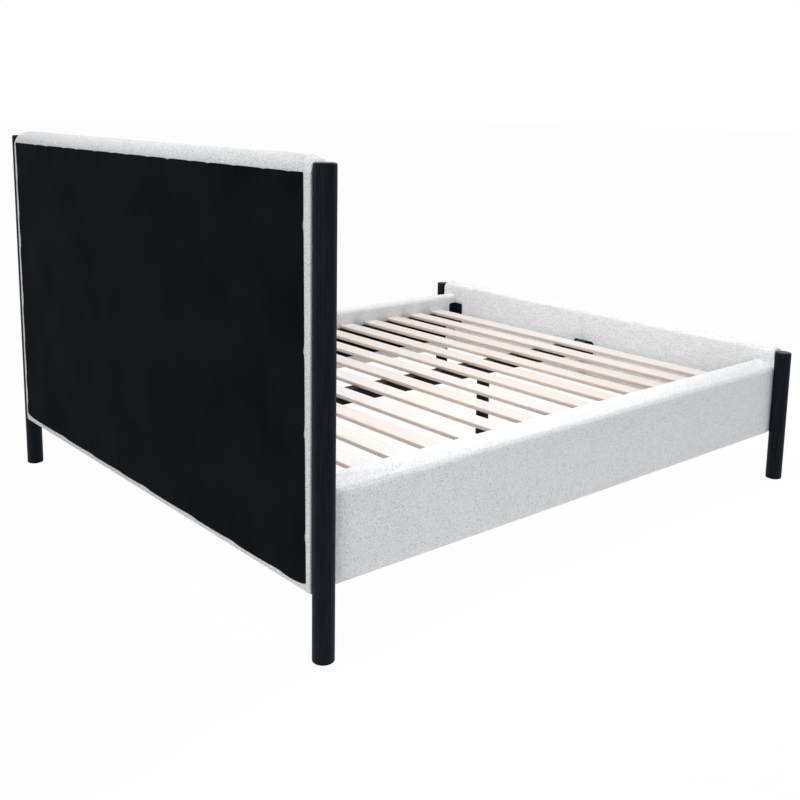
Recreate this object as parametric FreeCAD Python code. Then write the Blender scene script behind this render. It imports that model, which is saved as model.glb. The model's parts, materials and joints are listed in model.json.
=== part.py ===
import FreeCAD, Part
import math
import os
from dataclasses import dataclass

from FreeCAD import Vector

# Upholstered platform bed, in millimetres.
# X runs across the bed, Y from the foot (-) to the head (+), Z up from the floor.
# The origin is on the floor, midway between the four posts. Left is -X, seen from the foot.

# Mattress and the recess that takes it
mattress_width = 1600.0
mattress_length = 2000.0
mattress_side_gap = 14.5
mattress_end_gap = 16.5

# Round posts
post_diameter = 57.0
head_post_height = 1227.0
foot_post_height = 484.0
post_top_round = 6.0
post_top_facets = 2
post_foot_chamfer = 2.0
post_setback = 22.0
post_gap = 0.3
glide_height = 3.0
glide_diameter = 40.0
glide_chamfer = 1.2
glide_pin_diameter = 8.0
glide_pin_length = 22.0

# Upholstery common to the panels and rails
floor_clearance = 176.0
cover_thickness = 2.0
cover_gap = 0.15
panel_end_lap = 11.5
panel_end_run = 60.0
panel_end_drop = 22.0
panel_end_draw = 3.0
low_edge_chamfer = 5.0
panel_core_side_margin = 28.0
dust_sheet_thickness = 1.0
dust_sheet_lap = 18.0

# Headboard, with depths measured from the plane of the head posts' axes
headboard_height = 1067.0
headboard_front_depth = 41.0
headboard_back_depth = 30.0
headboard_front_radius = 38.0
headboard_back_radius = 30.0
headboard_face_crown = 6.0
headboard_flat_height = 470.0
headboard_board_thickness = 9.0
headboard_foam_thickness = 20.0
headboard_core_top_margin = 38.0
headboard_core_low_margin = 10.0
stile_width = 110.0
top_rail_height = 60.0
low_rail_height = 190.0
middle_stile_width = 60.0
middle_stile_spacing = 510.0
dust_cover_side_margin = 23.0
dust_cover_top_margin = 42.0
dust_cover_low_margin = 27.0

# Footboard, with depths measured from the plane of the foot posts' axes
footboard_height = 322.0
footboard_inner_depth = 15.0
footboard_outer_depth = 28.0
footboard_edge_radius = 20.0
footboard_face_crown = 3.0
footboard_core_thickness = 22.0
footboard_core_top_margin = 28.0
footboard_core_low_margin = 8.0
footboard_strip_margin = 8.0

# Side rails
rail_thickness = 83.5
rail_height = 272.0
rail_outer_radius = 50.0
rail_inner_radius = 30.0
rail_face_crown = 3.0
rail_end_gap = 0.5
rail_end_run = 30.0
rail_end_drop = 4.0
rail_end_draw = 5.0
rail_core_thickness = 45.0
rail_core_end_margin = 12.0
rail_core_top_margin = 32.0
rail_core_low_margin = 10.0
rail_strip_height = 140.0
rail_strip_end_margin = 60.0

# Slats, the ledgers under their ends and the beam under their middle
slat_count = 14
slat_end_margin = 91.0
slat_width = 70.0
slat_thickness = 14.0
slat_top_height = 376.0
slat_end_gap = 2.0
slat_edge_chamfer = 2.0
ledger_width = 38.0
ledger_height = 40.0
ledger_screw_count = 6
ledger_screw_end_margin = 80.0
beam_width = 50.0
beam_height = 50.0
beam_wall = 2.0
beam_corner_radius = 5.0
beam_end_gap = 1.0

# Beam hangers
hanger_plate_width = 106.0
hanger_plate_height = 66.0
hanger_sheet = 3.0
hanger_saddle_reach = 42.0
hanger_cheek_height = 40.0
hanger_corner_chamfer = 8.0
hanger_side_gap = 0.3
hanger_screw_inset = 11.0

# Corner brackets
bracket_sheet = 3.0
bracket_height = 120.0
bracket_top_height = 401.0
bracket_rail_leg = 40.0
bracket_board_leg = 48.0
bracket_bend_radius = 5.0
bracket_corner_chamfer = 6.0
bracket_bolt_edge = 30.0
bracket_rail_bolt_offset = 22.0
bracket_board_bolt_offset = 30.0

# Centre legs and their levelling feet
leg_spacing = 807.0
leg_diameter = 50.0
leg_wall = 2.0
leg_top_thickness = 4.0
leg_stud_diameter = 10.0
leg_stud_length = 14.0
leg_cap_flange = 4.0
leg_cap_plug = 20.0
leg_cap_gap = 0.1
foot_pad_diameter = 44.0
foot_pad_height = 6.0
foot_shoulder_diameter = 18.0
foot_shoulder_height = 4.0
foot_stem_diameter = 8.0
foot_stem_length = 50.0
foot_stem_gap = 0.1
foot_travel = 11.0
foot_stop_gap = 1.0

# Fasteners and other small round pieces, drawn with few flats because they repeat
shank_sides = 6
bolt_head_sides = 6
screw_head_sides = 8
floor_pad_sides = 16
hole_gap = 0.2
bolt_diameter = 8.0
bolt_head_diameter = 15.0
bolt_head_height = 5.3
bolt_bite = 30.0
bolt_short_bite = 16.0
screw_diameter = 5.0
screw_head_diameter = 10.0
screw_head_height = 2.5
screw_bite = 22.0
screw_short_bite = 14.0
stud_diameter = 8.0
stud_post_depth = 24.0
stud_core_depth = 45.0
stud_edge_margin = 150.0
stud_short_edge_margin = 70.0

# Places worked out from the sizes above
post_radius = post_diameter / 2
recess_half_width = mattress_width / 2 + mattress_side_gap
recess_length = mattress_length + 2 * mattress_end_gap
half_length = (recess_length + headboard_front_depth + footboard_inner_depth) / 2
head_face_y = half_length - headboard_front_depth
foot_face_y = -half_length + footboard_inner_depth
recess_middle_y = (head_face_y + foot_face_y) / 2
post_x = recess_half_width + rail_thickness + post_setback
panel_half_run = post_x - post_radius + panel_end_lap
rail_half_run = recess_length / 2 - rail_end_gap
slat_bottom = slat_top_height - slat_thickness
slat_pitch = (recess_length - 2 * slat_end_margin - slat_width) / (slat_count - 1)
beam_bottom = slat_bottom - beam_height
foot_height = foot_pad_height + foot_shoulder_height
leg_bottom = foot_height + foot_travel + foot_stop_gap + leg_cap_flange
LEFT, RIGHT = -1, 1
SIDES = {"left": LEFT, "right": RIGHT}
ENDS = {"head": 1, "foot": -1}


@dataclass(frozen=True)
class Pad:
    """One upholstered panel in its own frame: its run along X, its padded face towards -Y."""

    half_run: float
    show: float
    back: float
    low: float
    high: float
    show_radius: float
    back_radius: float
    face_crown: float
    flat_height: float
    end_run: float
    end_drop: float
    end_draw: float


headboard_pad = Pad(
    half_run=panel_half_run,
    show=-headboard_front_depth,
    back=headboard_back_depth,
    low=floor_clearance,
    high=floor_clearance + headboard_height,
    show_radius=headboard_front_radius,
    back_radius=headboard_back_radius,
    face_crown=headboard_face_crown,
    flat_height=headboard_flat_height,
    end_run=panel_end_run,
    end_drop=panel_end_drop,
    end_draw=0.0,
)
footboard_pad = Pad(
    half_run=panel_half_run,
    show=-footboard_outer_depth,
    back=footboard_inner_depth,
    low=floor_clearance,
    high=floor_clearance + footboard_height,
    show_radius=footboard_edge_radius,
    back_radius=footboard_edge_radius,
    face_crown=footboard_face_crown,
    flat_height=floor_clearance,
    end_run=panel_end_run,
    end_drop=panel_end_drop,
    end_draw=panel_end_draw,
)
rail_pad = Pad(
    half_run=rail_half_run,
    show=-rail_thickness,
    back=0.0,
    low=floor_clearance,
    high=floor_clearance + rail_height,
    show_radius=rail_outer_radius,
    back_radius=rail_inner_radius,
    face_crown=rail_face_crown,
    flat_height=floor_clearance,
    end_run=rail_end_run,
    end_drop=rail_end_drop,
    end_draw=rail_end_draw,
)


def block(x0, x1, y0, y1, z0, z1):
    """Box between two corners."""
    return Part.makeBox(x1 - x0, y1 - y0, z1 - z0, Vector(x0, y0, z0))


def rod(radius, start, direction, length):
    """Cylinder from a start point along a direction."""
    return Part.makeCylinder(radius, length, start, direction)


def ring(sides, radius, height):
    """Closed regular polygon round Z, with its corners on a circle."""
    angles = [2 * math.pi * index / sides for index in range(sides)]
    corners = [Vector(radius * math.cos(a), radius * math.sin(a), height) for a in angles]
    return Part.makePolygon(corners + corners[:1])


def prism(sides, radius, start, direction, length):
    """Regular prism from a start point along a direction, with its corners on a circle."""
    shape = Part.Face(ring(sides, radius, 0)).extrude(Vector(0, 0, length))
    shape.Placement = FreeCAD.Placement(start, FreeCAD.Rotation(Vector(0, 0, 1), direction))
    return shape


def floor_pad(diameter, height):
    """Flat pad standing on the floor at the origin, its lower edge chamfered."""
    radius = diameter / 2
    rings = [
        ring(floor_pad_sides, radius - glide_chamfer, 0),
        ring(floor_pad_sides, radius, glide_chamfer),
        ring(floor_pad_sides, radius, height),
    ]
    return Part.makeLoft(rings, True, True)


def turned(outline):
    """Solid turned about Z from (radius, height) corners."""
    corners = [Vector(radius, 0, height) for radius, height in outline]
    face = Part.Face(Part.makePolygon(corners + corners[:1]))
    return face.revolve(Vector(0, 0, 0), Vector(0, 0, 1), 360)


def moved(shape, x=0.0, y=0.0, z=0.0):
    """Copy of a shape, shifted."""
    return shape.translated(Vector(x, y, z))


def along(edge, axis):
    """Whether a straight edge runs along an axis."""
    start, end = (vertex.Point for vertex in edge.Vertexes)
    return (end - start).normalize().cross(axis).Length < 1e-6


def edges_along(shape, axis, keep):
    """Straight edges that run along an axis and whose middles are kept."""
    lines = [edge for edge in shape.Edges if isinstance(edge.Curve, Part.Line)]
    return [edge for edge in lines if along(edge, axis) and keep(edge.CenterOfMass)]


def rounded(shape, axis, radius, keep=lambda point: True):
    """Rounds the straight edges that run along an axis."""
    return shape.makeFillet(radius, edges_along(shape, axis, keep))


def chamfered(shape, axis, size, keep=lambda point: True):
    """Chamfers the straight edges that run along an axis."""
    return shape.makeChamfer(size, edges_along(shape, axis, keep))


def drilled(shape, holes):
    """A shape with a list of hole solids cut out of it."""
    return shape.cut(Part.makeCompound(holes))


def straight(start, end):
    """Straight edge between two points."""
    return Part.LineSegment(start, end).toShape()


def bowed(start, end, outward, rise):
    """Shallow arc between two points that rises off their chord."""
    middle = (start + end) * 0.5 + outward * rise
    return Part.Arc(start, middle, end).toShape()


def corner(x, y, z, radius, first_degrees):
    """Quarter round in the section plane at x, from an angle anticlockwise."""
    angles = [math.radians(first_degrees + step) for step in (0, 45, 90)]
    points = [Vector(x, y + radius * math.cos(a), z + radius * math.sin(a)) for a in angles]
    return Part.Arc(*points).toShape()


def pad_section(pad, x, drop, draw, inset):
    """Closed section of a panel at x: bottom, back, rounded top and padded face."""
    show = pad.show + draw + inset
    back = pad.back - inset
    low = pad.low + inset
    top = pad.high - drop - inset
    show_radius = pad.show_radius - draw - inset
    back_radius = pad.back_radius - inset
    low_cut = low_edge_chamfer - inset / 2
    flat = max(pad.flat_height, low + low_cut)

    def at(y, z):
        return Vector(x, y, z)

    edges = [
        straight(at(show + low_cut, low), at(back - low_cut, low)),
        straight(at(back - low_cut, low), at(back, low + low_cut)),
        straight(at(back, low + low_cut), at(back, top - back_radius)),
        corner(x, back - back_radius, top - back_radius, back_radius, 0),
        straight(at(back - back_radius, top), at(show + show_radius, top)),
        corner(x, show + show_radius, top - show_radius, show_radius, 90),
        bowed(at(show, top - show_radius), at(show, flat), Vector(0, -1, 0), pad.face_crown),
    ]
    if flat > low + low_cut:
        edges.append(straight(at(show, flat), at(show, low + low_cut)))
    edges.append(straight(at(show, low + low_cut), at(show + low_cut, low)))
    return Part.Wire(edges)


def pad_solid(pad, inset=0.0):
    """Panel lofted along its run, with its ends drawn in softly towards the corners."""
    half_run = pad.half_run - inset
    shares = (0.0, 0.3, 1.0)
    stations = [half_run - share * pad.end_run for share in shares]
    sections = []
    for x in [-station for station in stations] + stations[::-1]:
        reach = max(0.0, 1 - (half_run - abs(x)) / pad.end_run) ** 2
        sections.append(pad_section(pad, x, pad.end_drop * reach, pad.end_draw * reach, inset))
    return Part.makeLoft(sections, True, True)


def post_hollows(pad, inset=0.0):
    """Round hollows in a panel's ends, where the panel hugs the posts."""
    radius = post_radius + post_gap + inset
    return [
        rod(radius, Vector(side * post_x, 0, 0), Vector(0, 0, 1), pad.high + radius)
        for side in SIDES.values()
    ]


def fabric_cover(pad, window, hugs_posts):
    """Fabric shell round a panel, open where its edges are fastened."""
    outside = pad_solid(pad)
    inside = pad_solid(pad, cover_thickness)
    if hugs_posts:
        outside = drilled(outside, post_hollows(pad))
        inside = drilled(inside, post_hollows(pad, cover_thickness))
    return outside.cut(inside).cut(window)


def foam_pad(pad, core, hugs_posts):
    """Foam that fills a cover round its timber core."""
    inset = cover_thickness + cover_gap
    foam = pad_solid(pad, inset)
    if hugs_posts:
        foam = drilled(foam, post_hollows(pad, inset))
    return foam.cut(core)


def post(height, side, y, stud_holes):
    """Turned post with a softened top, drilled for its glide and its studs."""
    outline = [
        (0, glide_height),
        (post_radius - post_foot_chamfer, glide_height),
        (post_radius, glide_height + post_foot_chamfer),
    ]
    for step in range(post_top_facets + 1):
        angle = math.radians(90 * step / post_top_facets)
        radius = post_radius - post_top_round * (1 - math.cos(angle))
        outline.append((radius, height - post_top_round * (1 - math.sin(angle))))
    outline.append((0, height))
    pin_hole = prism(
        shank_sides,
        glide_pin_diameter / 2 + hole_gap,
        Vector(0, 0, 0),
        Vector(0, 0, 1),
        glide_height + glide_pin_length + hole_gap,
    )
    return drilled(moved(turned(outline).cut(pin_hole), side * post_x, y), stud_holes)


def post_glides():
    """Nylon glide under each post, with a pin pressed up into the post."""
    pin_start = Vector(0, 0, glide_height)
    pin = prism(shank_sides, glide_pin_diameter / 2, pin_start, Vector(0, 0, 1), glide_pin_length)
    glide = floor_pad(glide_diameter, glide_height).fuse(pin)
    return Part.makeCompound(
        [moved(glide, side * post_x, end * half_length) for side in SIDES.values() for end in ENDS.values()]
    )


def fastener(diameter, head_diameter, head_height, head_sides, length, seat, direction):
    """Bolt or screw whose head sits on a seat point, with its shank along a direction."""
    head = prism(head_sides, head_diameter / 2, seat - direction * head_height, direction, head_height)
    return head.fuse(prism(shank_sides, diameter / 2, seat, direction, length))


def bolt(seat, direction, length):
    """Hexagon-headed bolt."""
    return fastener(
        bolt_diameter, bolt_head_diameter, bolt_head_height, bolt_head_sides, length, seat, direction
    )


def screw(seat, direction, length):
    """Flat-headed wood screw."""
    return fastener(
        screw_diameter, screw_head_diameter, screw_head_height, screw_head_sides, length, seat, direction
    )


def fastener_hole(diameter, length, seat, direction):
    """Clearance hole for a fastener's shank, starting a little before its seat."""
    start = seat - direction * hole_gap
    return prism(shank_sides, diameter / 2 + hole_gap, start, direction, length + 2 * hole_gap)


def post_studs(y, heights):
    """Studs and their holes between one panel and its two posts."""
    studs = []
    holes = []
    post_face = post_x - post_radius
    core_end = panel_half_run - panel_core_side_margin
    for side in SIDES.values():
        outward = Vector(side, 0, 0)
        for height in heights:
            start = Vector(side * (core_end - stud_core_depth), y, height)
            length = stud_core_depth + post_face - core_end + stud_post_depth
            studs.append(prism(shank_sides, stud_diameter / 2, start, outward, length))
            holes.append(fastener_hole(stud_diameter, length, start, outward))
    return studs, holes


def bracket():
    """Folded steel corner bracket: its bend at the origin, legs along +X and +Y, standing on Z 0."""
    outer = block(0, bracket_board_leg, 0, bracket_rail_leg, 0, bracket_height)
    notch = block(
        bracket_sheet, bracket_board_leg, bracket_sheet, bracket_rail_leg, 0, bracket_height
    )
    shape = outer.cut(notch)
    near = bracket_sheet + 0.5
    shape = rounded(shape, Vector(0, 0, 1), bracket_bend_radius, lambda p: p.x < 0.5 and p.y < 0.5)
    inner_bend = bracket_bend_radius - bracket_sheet
    shape = rounded(
        shape,
        Vector(0, 0, 1),
        inner_bend,
        lambda p: abs(p.x - bracket_sheet) < 0.5 and abs(p.y - bracket_sheet) < 0.5,
    )
    shape = chamfered(shape, Vector(1, 0, 0), bracket_corner_chamfer, lambda p: p.y > near)
    return chamfered(shape, Vector(0, 1, 0), bracket_corner_chamfer, lambda p: p.x > near)


def bracket_bolts(end, side):
    """Seat points, directions and lengths of one bracket's bolts, into the rail and into the end panel."""
    face_y = head_face_y if end > 0 else foot_face_y
    bracket_low = bracket_top_height - bracket_height
    panel_cover = headboard_foam_thickness + headboard_board_thickness if end > 0 else 0.0
    panel_bite = bolt_bite if end > 0 else bolt_short_bite
    bolts = []
    for height in (bracket_low + bracket_bolt_edge, bracket_top_height - bracket_bolt_edge):
        rail_seat = Vector(
            side * (recess_half_width - bracket_sheet), face_y - end * bracket_rail_bolt_offset, height
        )
        bolts.append((rail_seat, Vector(side, 0, 0), bracket_sheet + cover_thickness + bolt_bite))
        panel_seat = Vector(
            side * (recess_half_width - bracket_board_bolt_offset), face_y - end * bracket_sheet, height
        )
        panel_length = bracket_sheet + cover_thickness + panel_cover + panel_bite
        bolts.append((panel_seat, Vector(0, end, 0), panel_length))
    return bolts


def corner_brackets():
    """The four brackets, drilled, with their bolts and the bolts' holes."""
    brackets = {}
    bolts = []
    holes = []
    for end_name, end in ENDS.items():
        for side_name, side in SIDES.items():
            places = bracket_bolts(end, side)
            corner_holes = [fastener_hole(bolt_diameter, length, seat, way) for seat, way, length in places]
            shape = bracket()
            if side == RIGHT:
                shape = shape.mirror(Vector(0, 0, 0), Vector(1, 0, 0))
            if end > 0:
                shape = shape.mirror(Vector(0, 0, 0), Vector(0, 1, 0))
            face_y = head_face_y if end > 0 else foot_face_y
            shape = moved(shape, side * recess_half_width, face_y, bracket_top_height - bracket_height)
            brackets["corner_bracket_%s_%s" % (end_name, side_name)] = drilled(shape, corner_holes)
            holes.extend(corner_holes)
            bolts.extend(bolt(seat, way, length) for seat, way, length in places)
    return brackets, bolts, holes


def hanger_screws(end):
    """Seat points, direction and length of the screws in one beam hanger."""
    face_y = head_face_y if end > 0 else foot_face_y
    panel_cover = headboard_foam_thickness + headboard_board_thickness if end > 0 else 0.0
    length = hanger_sheet + cover_thickness + panel_cover + screw_short_bite
    reach_x = hanger_plate_width / 2 - hanger_screw_inset
    heights = (slat_bottom - hanger_plate_height + hanger_screw_inset, slat_bottom - hanger_screw_inset)
    seats = [
        Vector(side * reach_x, face_y - end * hanger_sheet, height)
        for side in SIDES.values()
        for height in heights
    ]
    return [(seat, Vector(0, end, 0), length) for seat in seats]


def beam_hanger(end, holes):
    """Folded hanger on an end panel: a plate with a saddle that takes the beam's end."""
    plate_low = slat_bottom - hanger_plate_height
    half_plate = hanger_plate_width / 2
    plate = block(-half_plate, half_plate, 0, hanger_sheet, plate_low, slat_bottom)
    plate = chamfered(plate, Vector(0, 1, 0), hanger_corner_chamfer)
    half_saddle = beam_width / 2 + hanger_side_gap + hanger_sheet
    saddle_low = beam_bottom - hanger_sheet
    saddle_end = hanger_sheet + hanger_saddle_reach
    saddle = block(
        -half_saddle, half_saddle, hanger_sheet, saddle_end, saddle_low, beam_bottom + hanger_cheek_height
    )
    half_slot = half_saddle - hanger_sheet
    slot = block(-half_slot, half_slot, hanger_sheet, saddle_end, beam_bottom, slat_bottom)
    saddle = chamfered(
        saddle.cut(slot),
        Vector(1, 0, 0),
        hanger_corner_chamfer,
        lambda p: p.y > saddle_end - 1 and p.z > beam_bottom + 1,
    )
    shape = plate.fuse(saddle).removeSplitter()
    if end > 0:
        shape = shape.mirror(Vector(0, 0, 0), Vector(0, 1, 0))
    face_y = head_face_y if end > 0 else foot_face_y
    return drilled(moved(shape, y=face_y), holes)


def leg_places():
    """Y of the two centre legs, by end."""
    return {name: recess_middle_y + end * leg_spacing / 2 for name, end in ENDS.items()}


def centre_beam():
    """Square steel tube under the slats' middles, drilled for the legs' studs."""
    y0 = foot_face_y + hanger_sheet + beam_end_gap
    y1 = head_face_y - hanger_sheet - beam_end_gap
    half = beam_width / 2
    tube = rounded(
        block(-half, half, y0, y1, beam_bottom, slat_bottom), Vector(0, 1, 0), beam_corner_radius
    )
    hollow = block(
        -half + beam_wall, half - beam_wall, y0, y1, beam_bottom + beam_wall, slat_bottom - beam_wall
    )
    tube = tube.cut(rounded(hollow, Vector(0, 1, 0), beam_corner_radius - beam_wall))
    stud_holes = [
        prism(
            shank_sides,
            leg_stud_diameter / 2 + hole_gap,
            Vector(0, y, beam_bottom - hole_gap),
            Vector(0, 0, 1),
            beam_wall + 2 * hole_gap,
        )
        for y in leg_places().values()
    ]
    return drilled(tube, stud_holes)


def centre_leg():
    """Round leg tube with a closed top and a stud that goes up into the beam."""
    outer = leg_diameter / 2
    inner = outer - leg_wall
    tube = turned(
        [
            (inner, leg_bottom),
            (outer, leg_bottom),
            (outer, beam_bottom),
            (0, beam_bottom),
            (0, beam_bottom - leg_top_thickness),
            (inner, beam_bottom - leg_top_thickness),
        ]
    )
    stud_start = Vector(0, 0, beam_bottom)
    return tube.fuse(
        prism(shank_sides, leg_stud_diameter / 2, stud_start, Vector(0, 0, 1), leg_stud_length)
    )


def leg_cap():
    """Plug in the leg's lower end, bored for the levelling foot's stem."""
    up = Vector(0, 0, 1)
    flange_start = Vector(0, 0, leg_bottom - leg_cap_flange)
    flange = prism(floor_pad_sides, leg_diameter / 2, flange_start, up, leg_cap_flange)
    plug_radius = leg_diameter / 2 - leg_wall - leg_cap_gap
    plug = prism(floor_pad_sides, plug_radius, Vector(0, 0, leg_bottom), up, leg_cap_plug)
    bore_radius = foot_stem_diameter / 2 + foot_stem_gap
    bore = prism(shank_sides, bore_radius, flange_start, up, leg_cap_flange + leg_cap_plug)
    return flange.fuse(plug).cut(bore)


def levelling_foot():
    """Floor pad with a shoulder, on a stem that screws into the leg's end."""
    pad = floor_pad(foot_pad_diameter, foot_pad_height)
    up = Vector(0, 0, 1)
    shoulder_start = Vector(0, 0, foot_pad_height)
    shoulder = prism(
        shank_sides, foot_shoulder_diameter / 2, shoulder_start, up, foot_shoulder_height
    )
    stem_start = Vector(0, 0, foot_height)
    stem = prism(shank_sides, foot_stem_diameter / 2, stem_start, up, foot_stem_length)
    return pad.fuse([shoulder, stem])


def slat(index):
    """One slat across the recess, counted from the foot."""
    half_span = recess_half_width - slat_end_gap
    y = recess_middle_y + (index - (slat_count - 1) / 2) * slat_pitch
    half_width = slat_width / 2
    board = block(-half_span, half_span, y - half_width, y + half_width, slat_bottom, slat_top_height)
    return chamfered(board, Vector(1, 0, 0), slat_edge_chamfer)


def on_side(shape, side):
    """Places a rail's piece, made with its run along X and its inner face on Y 0, at one side."""
    placed = shape.copy()
    placed.rotate(Vector(0, 0, 0), Vector(0, 0, 1), 90 * side)
    return moved(placed, side * recess_half_width, recess_middle_y)


def headboard_core():
    """Extents of the headboard's board and frame: half width, low and high."""
    half = panel_half_run - panel_core_side_margin
    low = headboard_pad.low + headboard_core_low_margin
    return half, low, headboard_pad.high - headboard_core_top_margin


def headboard(bolt_holes, stud_holes):
    """Headboard: timber frame, front board, foam, fabric cover and the dust cover on its back."""
    half, low, high = headboard_core()
    board_front = -headboard_front_depth + cover_thickness + headboard_foam_thickness
    frame_front = board_front + headboard_board_thickness
    frame_back = headboard_back_depth - cover_thickness - cover_gap
    inner = half - stile_width
    holes = [moved(hole, y=-half_length) for hole in bolt_holes + stud_holes]
    top_rail_low = high - top_rail_height
    low_rail_high = low + low_rail_height
    middle = middle_stile_width / 2
    middles = [
        block(x - middle, x + middle, frame_front, frame_back, low_rail_high, top_rail_low)
        for x in (-middle_stile_spacing / 2, middle_stile_spacing / 2)
    ]
    sheet_half = panel_half_run - dust_cover_side_margin
    sheet_low = headboard_pad.low + dust_cover_low_margin
    sheet_high = headboard_pad.high - dust_cover_top_margin
    window = block(
        -sheet_half + dust_sheet_lap,
        sheet_half - dust_sheet_lap,
        frame_back,
        headboard_back_depth + 1,
        sheet_low + dust_sheet_lap,
        sheet_high - dust_sheet_lap,
    )
    core = block(-half, half, board_front, headboard_back_depth, low, high)
    pieces = {
        "headboard_stile_left": block(-half, -inner, frame_front, frame_back, low, high),
        "headboard_stile_right": block(inner, half, frame_front, frame_back, low, high),
        "headboard_low_rail": block(-inner, inner, frame_front, frame_back, low, low_rail_high),
        "headboard_board": block(-half, half, board_front, frame_front, low, high),
        "headboard_foam": foam_pad(headboard_pad, core, True),
        "headboard_cover": fabric_cover(headboard_pad, window, True),
    }
    pieces = {name: drilled(shape, holes) for name, shape in pieces.items()}
    pieces["headboard_top_rail"] = block(-inner, inner, frame_front, frame_back, top_rail_low, high)
    pieces["headboard_middle_stiles"] = Part.makeCompound(middles)
    pieces["headboard_dust_cover"] = block(
        -sheet_half,
        sheet_half,
        headboard_back_depth,
        headboard_back_depth + dust_sheet_thickness,
        sheet_low,
        sheet_high,
    )
    return {name: moved(shape, y=half_length) for name, shape in pieces.items()}


def footboard(bolt_holes, stud_holes):
    """Footboard: timber core, foam, fabric cover and the strip that closes it underneath."""
    half = panel_half_run - panel_core_side_margin
    low = footboard_pad.low + footboard_core_low_margin
    high = footboard_pad.high - footboard_core_top_margin
    core_back = footboard_inner_depth - cover_thickness - cover_gap
    core_front = core_back - footboard_core_thickness
    holes = [moved(hole, y=half_length) for hole in bolt_holes + stud_holes]
    strip_front = -footboard_outer_depth + footboard_strip_margin + panel_end_draw
    strip_back = footboard_inner_depth - footboard_strip_margin
    window = block(
        -half + dust_sheet_lap,
        half - dust_sheet_lap,
        strip_front + footboard_strip_margin,
        strip_back - footboard_strip_margin,
        floor_clearance - 1,
        floor_clearance + cover_thickness + cover_gap,
    )
    pocket = block(-half, half, core_front, footboard_inner_depth, low, high)
    pieces = {
        "footboard_core": block(-half, half, core_front, core_back, low, high),
        "footboard_foam": foam_pad(footboard_pad, pocket, True),
        "footboard_cover": fabric_cover(footboard_pad, window, True),
    }
    pieces = {name: drilled(shape, holes) for name, shape in pieces.items()}
    pieces["footboard_dust_strip"] = block(
        -half,
        half,
        strip_front,
        strip_back,
        floor_clearance - dust_sheet_thickness,
        floor_clearance,
    )
    return {name: moved(shape, y=-half_length) for name, shape in pieces.items()}


def ledger_screws():
    """Seat points of one ledger's screws, in the rail's own frame, and their length."""
    ledger_half = rail_half_run - rail_strip_end_margin
    span = 2 * (ledger_half - ledger_screw_end_margin)
    seat_y = dust_sheet_thickness + ledger_width
    height = slat_bottom - ledger_height / 2
    length = ledger_width + dust_sheet_thickness + cover_thickness + screw_bite
    step = span / (ledger_screw_count - 1)
    seats = [Vector(-span / 2 + index * step, seat_y, height) for index in range(ledger_screw_count)]
    return seats, length


def side_rail(side_name, bolt_holes):
    """One side rail: timber core, foam, fabric cover, inner strip and slat ledger."""
    side = SIDES[side_name]
    strip_half = rail_half_run - rail_strip_end_margin
    strip_low = slat_bottom - rail_strip_height
    core_half = rail_half_run - rail_core_end_margin
    core_back = -cover_thickness - cover_gap
    core_front = core_back - rail_core_thickness
    core_low = rail_pad.low + rail_core_low_margin
    core_high = rail_pad.high - rail_core_top_margin
    window = block(
        -strip_half + dust_sheet_lap,
        strip_half - dust_sheet_lap,
        core_back,
        1,
        strip_low + dust_sheet_lap / 2,
        slat_bottom - dust_sheet_lap / 2,
    )
    pocket = block(-core_half, core_half, core_front, 0, core_low, core_high)
    seats, length = ledger_screws()
    inward = Vector(0, -1, 0)
    screw_holes = [fastener_hole(screw_diameter, length, seat, inward) for seat in seats]
    strip = block(-strip_half, strip_half, 0, dust_sheet_thickness, strip_low, slat_bottom)
    ledger = block(
        -strip_half,
        strip_half,
        dust_sheet_thickness,
        dust_sheet_thickness + ledger_width,
        slat_bottom - ledger_height,
        slat_bottom,
    )
    core = block(-core_half, core_half, core_front, core_back, core_low, core_high)
    placed = {
        "rail_core_": on_side(drilled(core, screw_holes), side),
        "rail_foam_": on_side(foam_pad(rail_pad, pocket, False), side),
        "rail_cover_": on_side(fabric_cover(rail_pad, window, False), side),
    }
    pieces = {name + side_name: drilled(shape, bolt_holes) for name, shape in placed.items()}
    pieces["rail_strip_" + side_name] = on_side(drilled(strip, screw_holes), side)
    pieces["slat_ledger_" + side_name] = on_side(drilled(ledger, screw_holes), side)
    screws = [on_side(screw(seat, inward, length), side) for seat in seats]
    return pieces, screws


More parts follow.
